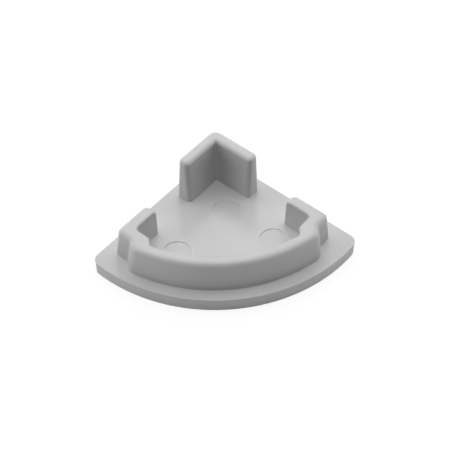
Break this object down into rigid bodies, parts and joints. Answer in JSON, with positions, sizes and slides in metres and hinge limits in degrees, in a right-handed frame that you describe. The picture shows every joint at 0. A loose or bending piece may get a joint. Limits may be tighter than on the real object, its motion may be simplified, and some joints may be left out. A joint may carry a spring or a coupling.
{
  "type": "profile end cap",
  "caption": "End cap for a quarter-round corner profile: a flat flange with a stepped curved wall and a corner angle that plug into the profile.",
  "frame": {"origin": "middle of the flat outer face, on the plane that the cap lies on", "axes": "+X across the cap from tip to tip, +Y toward the square back corner, +Z from the outer face toward the walls that plug into the profile"},
  "size_m": [0.0262, 0.0192, 0.0072],
  "materials": {
    "grey_plastic": "fine satin, as moulded"
  },
  "bodies": {
    "root": {"end_cap": "grey_plastic"}
  },
  "joints": []
}
